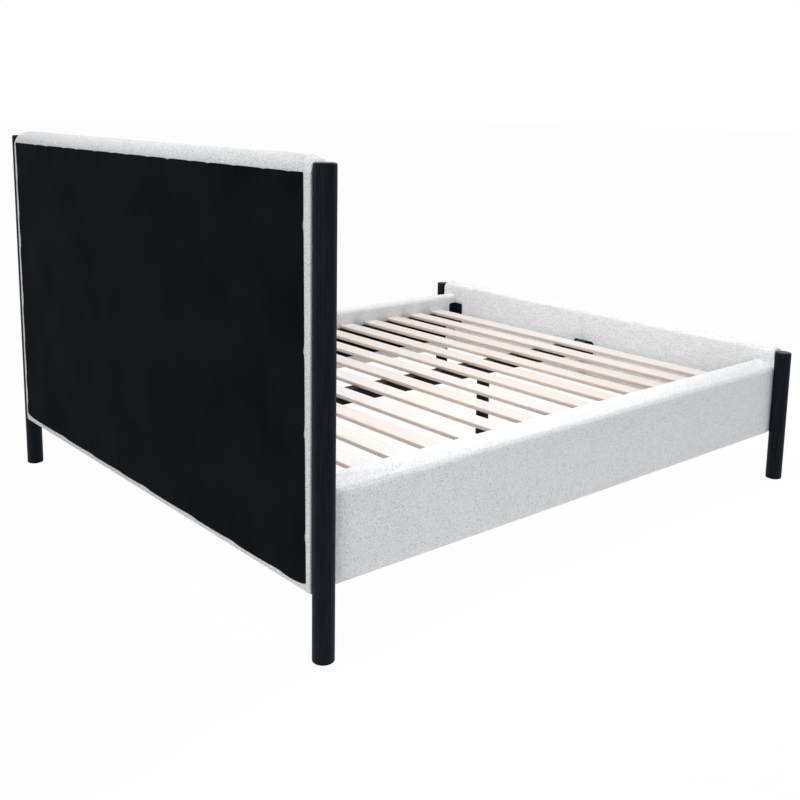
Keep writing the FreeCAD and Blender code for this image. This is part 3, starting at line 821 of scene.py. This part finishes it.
@dataclass(frozen=True)
class Pad:
    """One upholstered panel: its form, how its cover is divided, and where its cover is held."""

    name: str
    form: PadForm
    place: Matrix
    cuts: tuple[int, int, int]
    held_back_below: float
    fabric: WovenUpholstery
    ripple: float = 0.5 * MM
    ripple_length: float = 130 * MM
    held_edge: float = 2 * MM
    pressure: float = 4.0
    frames: int = 20
    full_rank: float = 0.8
    full_gain: float = 2.0
    still: float = 0.001 * MM

    def build(self) -> Piece:
        """Models the panel: a divided block, shaped, swollen as its cover is, and smoothed.

        Returns:
            The panel, in place.
        """
        form = self.form
        middle = Vector((0.0, (form.show + form.back) / 2, (form.low + form.high) / 2))
        size = Vector((2 * form.half_run, form.back - form.show, form.high - form.low))
        bpy.ops.mesh.primitive_cube_add(size=1.0, location=middle, scale=size)
        piece = named(self.name)
        with edit_mode(piece):
            for axis, count in zip(Axis, self.cuts):
                pick(piece, Element.EDGE, lambda _, way, axis=axis: abs(way[axis.value]) > ALONG)
                bpy.ops.mesh.subdivide(number_cuts=count)
        for corner in piece.data.vertices:
            corner.co = form.fitted(corner.co)
        self.swell(piece)
        self.ripple_cover(piece)
        piece.data.transform(self.place)
        apply_modifier(piece, "SUBSURF", levels=1, render_levels=1)
        smooth(piece, degrees=60)
        self.fabric.dress(piece)
        return piece

    def is_held(self, point: Vector) -> bool:
        """Whether the cover is fastened at a point: at the ends, below or on the lower back.

        Args:
            point: Point on the panel, in its own frame.

        Returns:
            True where it is fastened.
        """
        form = self.form
        underneath = point.z < form.low + self.held_edge
        at_end = abs(point.x) > form.half_run - form.end_run / 2
        behind = point.y > form.back - self.held_edge and point.z < self.held_back_below
        return underneath or at_end or behind

    def swell(self, piece: Piece) -> None:
        """Lets the foam press the cover out by a cloth simulation, as far as the form allows.

        Args:
            piece: The panel, in its own frame.
        """
        rest = [corner.co.copy() for corner in piece.data.vertices]
        group = piece.vertex_groups.new(name="held")
        group.add([i for i, point in enumerate(rest) if self.is_held(point)], 1.0, "REPLACE")
        activate(piece)
        bpy.ops.object.modifier_add(type="CLOTH")
        cloth = piece.modifiers[-1]
        cloth.settings.vertex_group_mass = group.name
        cloth.settings.use_pressure = True
        cloth.settings.uniform_pressure_force = self.pressure
        cloth.settings.effector_weights.gravity = 0.0
        cloth.point_cache.frame_end = self.frames
        for frame in range(1, self.frames + 1):
            bpy.context.scene.frame_set(frame)
        bpy.ops.object.modifier_apply(modifier=cloth.name)
        bpy.context.scene.frame_set(1)
        piece.vertex_groups.clear()
        moves = [corner.co - start for corner, start in zip(piece.data.vertices, rest)]
        full = sorted(move.length for move in moves)[int(self.full_rank * len(moves))]
        for corner, start, move in zip(piece.data.vertices, rest, moves):
            if move.length > self.still:
                share = math.tanh(self.full_gain * move.length / full)
                corner.co = start + move.normalized() * self.form.swell * share

    def ripple_cover(self, piece: Piece) -> None:
        """Wanders the cover's surface slightly, as cloth drawn over foam does.

        Args:
            piece: The panel, in its own frame.
        """
        normals = [corner.normal.copy() for corner in piece.data.vertices]
        for corner, normal in zip(piece.data.vertices, normals):
            if not self.is_held(corner.co):
                wave = noise.noise(corner.co / self.ripple_length)
                corner.co += normal * self.ripple * wave


@dataclass(frozen=True)
class Posts:
    """The four round posts: turned, with a softened rim at the top and an eased foot."""

    top_round: float = 6 * MM
    top_segments: int = 7
    foot_round: float = 2.5 * MM
    foot_segments: int = 3
    end_ring: float = 1.2 * MM
    sides: int = 96

    def turn(self, node: str) -> Piece:
        """Models one post in place.

        Args:
            node: CAD node that it stands for.

        Returns:
            The post.
        """
        low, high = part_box(node)
        bpy.ops.mesh.primitive_cylinder_add(
            vertices=self.sides,
            radius=(high.x - low.x) / 2,
            depth=high.z - low.z,
            location=(low + high) / 2,
        )
        post = named(node + "_turned")
        with edit_mode(post):
            pick(post, Element.EDGE, lambda at, way: abs(way.z) < ACROSS and at.z > high.z - MM)
            bpy.ops.mesh.bevel(offset=self.top_round, segments=self.top_segments, profile=0.5)
            pick(post, Element.EDGE, lambda at, way: abs(way.z) < ACROSS and at.z < low.z + MM)
            bpy.ops.mesh.bevel(offset=self.foot_round, segments=self.foot_segments, profile=0.5)
            pick(post, Element.FACE, lambda at, normal: normal.z > ALONG and at.z > high.z - MM)
            bpy.ops.mesh.inset(thickness=self.end_ring)
        smooth(post, degrees=40)
        POST_WOOD.dress(post)
        return post

    def build(self) -> None:
        """Turns a tall and a short post, and copies each to the other side."""
        for end in End:
            left, right = (f"{end.word}_post_{side.word}" for side in Side)
            post = self.turn(left)
            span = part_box(right)[0].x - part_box(left)[0].x
            twin = copied(post, right + "_turned", Matrix.Translation((span, 0, 0)))
            settle(post, left)
            settle(twin, right)


def end_panel(end: End, form: PadForm, crest_loss: float, held_below: float, **cover: Any) -> Piece:
    """Models and settles an upholstered panel between two posts, its ends hugging them.

    Args:
        end: End of the bed.
        form: The panel's form, without its size and place.
        crest_loss: How far the cloth draws the crest down, which the form's height makes up for.
        held_below: How far below the top the cover is held behind.
        cover: The pad's cuts, fabric and ripple.

    Returns:
        The panel.
    """
    board = end.word + "board"
    low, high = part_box(board + "_cover")
    post_low, post_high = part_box(end.word + "_post_right")
    axis = (post_low + post_high) / 2
    form = replace(
        form,
        half_run=high.x,
        show=low.y - axis.y,
        back=high.y - axis.y,
        low=low.z,
        high=high.z + crest_loss,
        post_x=axis.x,
        post_radius=(post_high.x - post_low.x) / 2 + POST_CLEARANCE,
    )
    place = Matrix.Translation((0, axis.y, 0))
    held_back_below = high.z - held_below
    panel = Pad(board + "_panel", form, place, held_back_below=held_back_below, **cover).build()
    settle(panel, board + "_cover", board + "_foam")
    return panel


@dataclass(frozen=True)
class HemmedEdge:
    """One edge of the dust cover: how far it stands out, its lifted corners and its nicks."""

    start_out: float
    end_out: float
    pitch: float
    nick: float
    rise: float
    fall: float
    seed: float
    corner_lift: float = 0.0
    corner_run: float = 18 * MM
    wander: float = 0.4
    least_depth: float = 0.6
    depth_spread: float = 0.9
    shift_draw: Pair = (1.7, 0.3)
    depth_draw: Pair = (2.3, 2.1)

    def nicks(self, length: float) -> list[Pair]:
        """Places and depths of the nicks.

        Args:
            length: Length of the edge.

        Returns:
            Place along the edge and depth, for each nick.
        """
        found = []
        for i in range(int(length / self.pitch)):
            shift, spread = (
                noise.noise(Vector((i * step, self.seed, row)))
                for step, row in (self.shift_draw, self.depth_draw)
            )
            depth = self.least_depth + self.depth_spread * abs(spread)
            found.append(((i + 0.5 + self.wander * shift) * self.pitch, self.nick * depth))
        return found

    def stands_out(self, along: float, length: float, nicks: list[Pair]) -> float:
        """How far the edge stands out from the sheet's plain outline.

        Args:
            along: Place along the edge.
            length: Length of the edge.
            nicks: Places and depths of its nicks.

        Returns:
            Distance outwards.
        """
        out = self.start_out + (self.end_out - self.start_out) * along / length
        out -= self.corner_lift * math.exp(-min(along, length - along) / self.corner_run)
        for place, depth in nicks:
            gap = along - place
            before = gap < 0
            out -= depth * math.exp(-((gap / self.rise) ** 2) if before else -gap / self.fall)
        return out


@dataclass(frozen=True)
class Headboard:
    """Headboard: a padded panel that hugs the tall posts, with a dust cover stapled to its back."""

    form: PadForm = PadForm(
        show_round=(38 * MM, 38 * MM),
        back_round=(30 * MM, 30 * MM),
        end_run=76 * MM,
        end_drop=23 * MM,
        swell=4 * MM,
    )
    cuts: tuple[int, int, int] = (99, 9, 64)
    crest_loss: float = 4.5 * MM
    sheet_thickness: float = 0.8 * MM
    sheet_spacing: float = 7 * MM
    edge_reach: float = 60 * MM
    slack: float = 1.0 * MM
    slack_margin: float = 150 * MM
    slack_rate: float = 4.5
    slack_bias: float = 0.4
    crease: float = 1.6 * MM
    crease_width: float = 11 * MM
    crease_length: float = 45 * MM
    crease_reach: float = 180 * MM
    top_edge: HemmedEdge = HemmedEdge(2 * MM, 1 * MM, 0.118, 3 * MM, 8 * MM, 12 * MM, 0.15)
    low_edge: HemmedEdge = HemmedEdge(
        11 * MM, 6 * MM, 0.225, 5 * MM, 22 * MM, 45 * MM, 0.4, corner_lift=10 * MM
    )
    left_edge: HemmedEdge = HemmedEdge(8 * MM, -3 * MM, 0.24, 3 * MM, 8 * MM, 12 * MM, 0.7)
    right_edge: HemmedEdge = HemmedEdge(10 * MM, 8 * MM, 0.118, 11 * MM, 20 * MM, 38 * MM, 0.25)

    def dust_cover(self, low: Vector, high: Vector) -> Piece:
        """Models the dust cover: a thin sheet, nicked and creased where its hem is caught.

        Args:
            low: The sheet's lowest corner.
            high: The sheet's highest corner.

        Returns:
            The sheet.
        """
        middle = (low + high) / 2
        width, height = high.x - low.x, high.z - low.z
        sheet = add_grid(
            "headboard_dust_sheet",
            (round(width / self.sheet_spacing), round(height / self.sheet_spacing)),
            (width, height),
            Vector((middle.x, low.y + self.sheet_thickness, middle.z)),
            UPRIGHT,
        )
        spans = (width, width, height, height)
        edges = (self.top_edge, self.low_edge, self.left_edge, self.right_edge)
        nicks = [edge.nicks(span) for edge, span in zip(edges, spans)]
        for corner in sheet.data.vertices:
            corner.co = self.hemmed(corner.co, low, high, nicks)
        with edit_mode(sheet):
            bpy.ops.mesh.normals_make_consistent(inside=False)
        apply_modifier(sheet, "SOLIDIFY", thickness=self.sheet_thickness, offset=0.0)
        smooth(sheet, degrees=60)
        DUST_CLOTH.dress(sheet)
        return sheet

    def hemmed(self, point: Vector, low: Vector, high: Vector, nicks: list[list[Pair]]) -> Vector:
        """Moves a point of the flat sheet to where its hems draw it.

        Args:
            point: Point on the flat sheet.
            low: The sheet's lowest corner.
            high: The sheet's highest corner.
            nicks: Places and depths of the nicks in the top, low, left and right edges.

        Returns:
            The drawn point.
        """
        x, y, z = point
        width, height = high.x - low.x, high.z - low.z
        edges = (
            (self.top_edge, Axis.Z, high.z - z, 1, x - low.x, width),
            (self.low_edge, Axis.Z, z - low.z, -1, x - low.x, width),
            (self.left_edge, Axis.X, x - low.x, -1, z - low.z, height),
            (self.right_edge, Axis.X, high.x - x, 1, z - low.z, height),
        )
        drawn = point.copy()
        inward = min(distance for _, _, distance, *_ in edges)
        wave = noise.noise(point * self.slack_rate) + self.slack_bias
        lift = self.slack * min(1.0, inward / self.slack_margin) * wave
        for (edge, axis, distance, way, along, length), caught in zip(edges, nicks):
            if distance < self.edge_reach:
                share = 1 - distance / self.edge_reach
                drawn[axis.value] += way * edge.stands_out(along, length, caught) * share**2
            if distance < self.crease_reach:
                fade = math.exp(-distance / self.crease_length)
                for place, _ in caught:
                    across = (along - place) / self.crease_width
                    lift += self.crease * fade * math.exp(-(across**2))
        drawn.y = y + max(0.0, lift)
        return drawn

    def build(self) -> None:
        """Builds the panel and its dust cover."""
        held_below = self.form.back_round[1]
        panel = end_panel(
            End.HEAD, self.form, self.crest_loss, held_below, cuts=self.cuts, fabric=PANEL_FABRIC
        )
        low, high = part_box("headboard_dust_cover")
        sheet = self.dust_cover(low, high)
        settle(sheet, "headboard_dust_cover")


@dataclass(frozen=True)
class Strip:
    """A stapled strip of dust cloth that lies flat, its long edges a little uneven."""

    name: str
    node: str
    facing: Axis
    thickness: float = 0.8 * MM
    spacing: float = 20 * MM
    width_cuts: int = 6
    uneven_share: float = 0.012
    uneven_rate: float = 9.0
    edge_seed: float = 3.0

    def build(self, panel: Piece) -> None:
        """Models the strip and settles it on its panel.

        Args:
            panel: Padded panel that it is stapled to; not used.
        """
        low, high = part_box(self.node)
        size = high - low
        middle = (low + high) / 2
        sideways = self.facing is Axis.X
        length, width = (Axis.Y.value, Axis.Z.value) if sideways else (Axis.X.value, Axis.Y.value)
        cuts = (round(size[length] / self.spacing), self.width_cuts)
        extent = (size[length], size[width])
        turn = (0.0, 0.0, 0.0)
        if sideways:
            cuts, extent, turn = cuts[::-1], extent[::-1], (0.0, math.radians(90), 0.0)
        strip = add_grid(self.name, cuts, extent, middle, turn)
        for corner in strip.data.vertices:
            share = (corner.co[width] - middle[width]) / size[width] * 2
            seed = math.copysign(self.edge_seed, share)
            wave = noise.noise(Vector((corner.co[length] * self.uneven_rate, seed, 0.0)))
            corner.co[width] -= share**3 * (0.5 + 0.5 * wave) * self.uneven_share * size[width]
        apply_modifier(strip, "SOLIDIFY", thickness=self.thickness, offset=0.0)
        smooth(strip, degrees=60)
        DUST_CLOTH.dress(strip)
        settle(strip, self.node)


@dataclass(frozen=True)
class Footboard:
    """Footboard: a low padded panel between the short posts, its cover lapped inside."""

    form: PadForm = PadForm(
        show_round=(20 * MM, 20 * MM),
        back_round=(8 * MM, 8 * MM),
        end_run=30 * MM,
        end_drop=16 * MM,
        end_draw=3 * MM,
        swell=3 * MM,
        crest=0.4,
        back_fall=9 * MM,
    )
    cuts: tuple[int, int, int] = (99, 9, 22)
    ripple: float = 0.35 * MM
    crest_loss: float = 4.6 * MM
    lap_edge: float = 735 * MM
    lap_end: float = 892 * MM
    lap_low: float = 12 * MM
    lap_high: float = 24 * MM
    lap_thickness: float = 2.2 * MM
    lap_spacing: Pair = (1.5 * MM, 5 * MM)
    hem_width: float = 10 * MM
    hem_layers: float = 1.5
    fold_run: float = 1.5 * MM
    groove_width: float = 1.6 * MM
    groove_depth: float = 0.6
    press_margin: float = 1.5 * MM
    press_run: float = 6 * MM
    press_sink: float = 0.3 * MM
    stitch_pitch: float = 7 * MM
    stitch_length: float = 4.6 * MM
    stitch_width: float = 0.9 * MM
    stitch_height: float = 0.55
    stitch_sides: int = 8
    stitch_rings: int = 6

    def lap_height(self, x: float, z: float, pressed: list[tuple[Vector, Vector]]) -> float:
        """How far the right lap stands off the panel's inner face.

        Args:
            x: Place along the bed's width.
            z: Height.
            pressed: Boxes of the pieces that press the lap flat.

        Returns:
            Height of its outer face: a doubled hem, a groove at the stitches, then a plain layer
            that is pressed flat under the corner bracket and behind the rail's end.
        """
        across = x - self.lap_edge
        groove = math.exp(-(((across - self.hem_width) / self.groove_width) ** 2))
        layers = self.hem_layers if across < self.hem_width else 1.0
        fold = min(1.0, max(0.0, across) / self.fold_run) ** 0.5
        height = self.lap_thickness * layers * fold * (1 - self.groove_depth * groove)
        distance = min(
            math.hypot(max(0.0, low.x - x), max(0.0, low.z - z, z - high.z))
            for low, high in pressed
        )
        free = min(1.0, max(0.0, distance - self.press_margin) / self.press_run)
        return height * free - self.press_sink * (1 - free)

    def lap_span(self) -> Triple:
        """Where the panel's inner face lies, and the heights that the laps start and end at."""
        low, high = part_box("footboard_cover")
        return high.y, low.z + self.lap_low, high.z - self.lap_high

    def lap(self) -> Piece:
        """Models the cover's right end, folded round onto the inner face and stitched down.

        Returns:
            The lap.
        """
        face, bottom, top = self.lap_span()
        width = self.lap_end - self.lap_edge
        middle = Vector((self.lap_edge + width / 2, face, (bottom + top) / 2))
        wide, tall = self.lap_spacing
        cuts = (round(width / wide), round((top - bottom) / tall))
        lap = add_grid("footboard_lap_right", cuts, (width, top - bottom), middle, UPRIGHT)
        pressed = [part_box(node) for node in ("corner_bracket_foot_right", "rail_cover_right")]
        for corner in lap.data.vertices:
            corner.co.y = face + self.lap_height(corner.co.x, corner.co.z, pressed)
        with edit_mode(lap):
            bpy.ops.mesh.flip_normals()
        apply_modifier(lap, "SOLIDIFY", thickness=self.lap_thickness / 2, offset=-1.0)
        smooth(lap, degrees=50)
        FOOT_FABRIC.dress(lap)
        return lap

    def stitches(self) -> Piece:
        """Models the row of stitches along the right lap's hem.

        Returns:
            The row.
        """
        face, bottom, top = self.lap_span()
        off_face = self.lap_thickness * self.stitch_height
        start = (self.lap_edge + self.hem_width, face + off_face, bottom + self.stitch_pitch)
        size = (self.stitch_width, self.stitch_width, self.stitch_length)
        bpy.ops.mesh.primitive_uv_sphere_add(
            segments=self.stitch_sides,
            ring_count=self.stitch_rings,
            radius=0.5,
            location=start,
            scale=size,
        )
        row = named("footboard_lap_stitches_right")
        apply_modifier(
            row,
            "ARRAY",
            count=int((top - bottom) / self.stitch_pitch) - 1,
            use_relative_offset=False,
            use_constant_offset=True,
            constant_offset_displace=(0.0, 0.0, self.stitch_pitch),
        )
        smooth(row, degrees=60)
        FOOT_FABRIC.dress(row)
        return row

    def build(self) -> None:
        """Builds the panel, the strip under it and its laps, the left ones mirrored."""
        panel = end_panel(
            End.FOOT,
            self.form,
            self.crest_loss,
            self.form.back_fall + self.form.back_round[1],
            cuts=self.cuts,
            fabric=FOOT_FABRIC,
            ripple=self.ripple,
        )
        Strip("footboard_under_strip", "footboard_dust_strip", Axis.Z).build(panel)
        mirror = Matrix.Scale(-1, 4, (1, 0, 0))
        for piece in (self.lap(), self.stitches()):
            left = copied(piece, piece.name.replace("right", "left"), mirror)
            with edit_mode(left):
                bpy.ops.mesh.flip_normals()
            for side in (piece, left):
                settle(side)


@dataclass(frozen=True)
class SideRails:
    """The two upholstered side rails, each with a black strip on its inner face."""

    form: PadForm = PadForm(
        show_round=(14 * MM, 13 * MM),
        back_round=(16 * MM, 16 * MM),
        end_run=11 * MM,
        end_drop=9 * MM,
        end_draw=7 * MM,
        swell=3 * MM,
        crest=0.8,
        show_fall=20 * MM,
    )
    cuts: tuple[int, int, int] = (99, 17, 22)
    ripple: float = 0.7 * MM

    def build(self) -> None:
        """Builds the left rail, turns a copy of it round for the right, and adds the strips."""
        low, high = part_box("rail_cover_left")
        form = replace(
            self.form,
            half_run=(high.y - low.y) / 2,
            show=low.x - high.x,
            low=low.z,
            high=high.z,
        )
        middle_y = (low.y + high.y) / 2
        turn = Matrix.Rotation(math.radians(-90), 4, "Z")
        place = Matrix.Translation((high.x, middle_y, 0)) @ turn
        held = high.z - form.back_round[1]
        pad = Pad("rail_left_panel", form, place, self.cuts, held, RAIL_FABRIC, self.ripple)
        left = pad.build()
        centre = Matrix.Translation((0, middle_y, 0))
        half_turn = centre @ Matrix.Rotation(math.pi, 4, "Z") @ centre.inverted()
        right = copied(left, "rail_right_panel", half_turn)
        for side, panel in zip(Side, (left, right)):
            settle(panel, "rail_cover_" + side.word, "rail_foam_" + side.word)
            strip = Strip(f"rail_{side.word}_inner_strip", "rail_strip_" + side.word, Axis.X)
            strip.build(panel)


@dataclass(frozen=True)
class Slats:
    """The slats: planed boards with rounded long edges and eased ends, laid across the ledgers."""

    count: int = 14
    edge_round: float = 3 * MM
    edge_segments: int = 4
    end_round: float = 1.2 * MM
    end_segments: int = 2
    end_reach: float = 0.1 * MM

    def board(self, node: str) -> Piece:
        """Models one slat in place.

        Args:
            node: CAD node that it stands for.

        Returns:
            The slat.
        """
        low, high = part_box(node)
        bpy.ops.mesh.primitive_cube_add(size=1.0, location=(low + high) / 2, scale=high - low)
        board = named(node + "_planed")
        end_x = high.x - self.end_reach
        with edit_mode(board):
            pick(board, Element.EDGE, lambda _, way: abs(way.x) > ALONG)
            bpy.ops.mesh.bevel(offset=self.edge_round, segments=self.edge_segments, profile=0.5)
            pick(board, Element.EDGE, lambda at, way: abs(way.x) < ACROSS and abs(at.x) > end_x)
            bpy.ops.mesh.bevel(offset=self.end_round, segments=self.end_segments, profile=0.5)
        smooth(board, degrees=40)
        SLAT_WOOD.dress(board)
        return board

    def build(self) -> None:
        """Models the first slat and copies it to the others' places."""
        nodes = [f"slat_{number:02d}" for number in range(1, self.count + 1)]
        first = self.board(nodes[0])
        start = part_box(nodes[0])[0].y
        for node in nodes[1:]:
            move = Matrix.Translation((0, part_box(node)[0].y - start, 0))
            settle(copied(first, node + "_planed", move), node)
        settle(first, nodes[0])


@dataclass(frozen=True)
class Framework:
    """The rigid CAD nodes that keep their shapes: ledgers, timber inside, steelwork and feet."""

    nodes: dict[str, Piece]

    def build(self) -> None:
        """Dresses every node that is still shown."""
        for name, node in self.nodes.items():
            if not node.hide_render:
                fitting = (made for start, made in NODE_FINISHES.items() if name.startswith(start))
                finish = next(fitting, BLACK_STEEL)
                finish.dress(node)
                LOG.info("%s: CAD node in %s", name, finish.name)


@dataclass(frozen=True)
class Lamp:
    """A square soft lamp: where it hangs, the point it faces, its side, spread and power."""

    name: str
    at: Triple
    aim: Triple
    size: float
    spread_degrees: float
    watts: float

    def hang(self) -> None:
        """Adds the lamp to the scene."""
        data = bpy.data.lights.new(self.name, "AREA")
        data.size = self.size
        data.spread = math.radians(self.spread_degrees)
        data.energy = self.watts
        lamp = bpy.data.objects.new(self.name, data)
        lamp.location = self.at
        lamp.rotation_mode = "QUATERNION"
        lamp.rotation_quaternion = (Vector(self.aim) - lamp.location).to_track_quat("-Z", "Y")
        bpy.context.scene.collection.objects.link(lamp)


@dataclass(frozen=True)
class Studio:
    """A pale floor, soft studio light and the camera that took the photograph's view."""

    camera_at: Triple = (-2.83885, 2.45747, 1.36089)
    camera_yaw: float = -0.707920
    camera_pitch: float = 0.175424
    camera_roll: float = 0.016541
    focal_pixels: float = 1042.557
    image_pixels: float = 800.0
    centre_row: float = 288.227
    sensor_mm: float = 36.0
    floor_half: float = 60.0
    floor_colour: str = "#F4F4F4"
    floor_own_light: float = 0.965
    sky_colour: str = "#FFFFFF"
    sky_strength: float = 0.53
    lamps: tuple[Lamp, ...] = (
        Lamp("over_foot", (0, 0.65, 4.4), (0, -1.1, 0.3), 2.6, 75, watts=32),
        Lamp("over_head", (-0.4, -2.2, 2.9), (-0.85, 1.0, 0.43), 1.2, 28, watts=3.5),
        Lamp("behind_camera", (-3.4, 4.2, 1.1), (-0.4, 0.6, 0.6), 1.0, 180, watts=32),
    )

    def camera(self) -> None:
        """Sets the camera up from the photograph's perspective."""
        data = bpy.data.cameras.new("camera")
        data.sensor_width = self.sensor_mm
        data.lens = self.focal_pixels * self.sensor_mm / self.image_pixels
        data.shift_y = (self.centre_row - self.image_pixels / 2) / self.image_pixels
        cos_yaw, sin_yaw = math.cos(self.camera_yaw), math.sin(self.camera_yaw)
        cos_pitch, sin_pitch = math.cos(self.camera_pitch), math.sin(self.camera_pitch)
        cos_roll, sin_roll = math.cos(self.camera_roll), math.sin(self.camera_roll)
        ahead = Vector((cos_yaw * cos_pitch, sin_yaw * cos_pitch, -sin_pitch))
        level = Vector((sin_yaw, -cos_yaw, 0.0))
        up = level.cross(ahead)
        right = level * cos_roll + up * sin_roll
        top = up * cos_roll - level * sin_roll
        turn = Matrix((right, top, -ahead)).transposed().to_4x4()
        camera = bpy.data.objects.new("camera", data)
        camera.matrix_world = Matrix.Translation(self.camera_at) @ turn
        bpy.context.scene.collection.objects.link(camera)
        bpy.context.scene.camera = camera

    def floor(self) -> None:
        """Lays a pale floor that keeps the shadow and shows white."""
        bpy.ops.mesh.primitive_plane_add(size=2 * self.floor_half)
        floor = named("studio_floor")
        made = bpy.data.materials.new("Matte white studio floor")
        tree = bare_tree(made)
        matte = add_node(tree, "BsdfDiffuse", {"Color": linear(self.floor_colour)})[0]
        white = add_node(tree, "Emission", {"Strength": 1.0})[0]
        weights = {0: self.seen_rays(tree), 1: self.floor_own_light}
        share = add_node(tree, "Math", weights, operation="MULTIPLY")[0]
        mixed = add_node(tree, "MixShader", {0: share, 1: matte, 2: white})[0]
        add_node(tree, "OutputMaterial", {"Surface": mixed})
        floor.data.materials.append(made)

    def seen_rays(self, tree: NodeTree) -> Socket:
        """Finds rays that show the background: from the camera, off gloss and through glass.

        Args:
            tree: Node tree of the floor or the world.

        Returns:
            Socket that is 1 for such rays.
        """
        path = add_node(tree, "LightPath")
        seen = path["Is Camera Ray"]
        for kind in ("Is Glossy Ray", "Is Transmission Ray"):
            seen = add_node(tree, "Math", {0: seen, 1: path[kind]}, operation="MAXIMUM")[0]
        return seen

    def sky(self) -> None:
        """Lights the scene evenly, with a white background."""
        world = bpy.data.worlds.new("studio")
        tree = bare_tree(world)
        inputs = {"Value": self.seen_rays(tree), "To Min": self.sky_strength, "To Max": 1.0}
        strength = add_node(tree, "MapRange", inputs)[0]
        light = {"Color": linear(self.sky_colour), "Strength": strength}
        sky = add_node(tree, "Background", light)[0]
        add_node(tree, "OutputWorld", {"Surface": sky})
        bpy.context.scene.world = world

    def build(self) -> None:
        """Sets the camera, the floor, the light and the view transform."""
        self.camera()
        self.floor()
        self.sky()
        for lamp in self.lamps:
            lamp.hang()
        bpy.context.scene.view_settings.view_transform = "Standard"


def main() -> None:
    """Builds the bed's soft and turned pieces, dresses the rest, and sets the studio."""
    logging.basicConfig(level=logging.INFO, format="%(name)s %(message)s")
    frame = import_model()
    Posts().build()
    Headboard().build()
    Footboard().build()
    SideRails().build()
    Slats().build()
    Framework(frame["nodes"]).build()
    Studio().build()


if __name__ == "__main__":
    main()
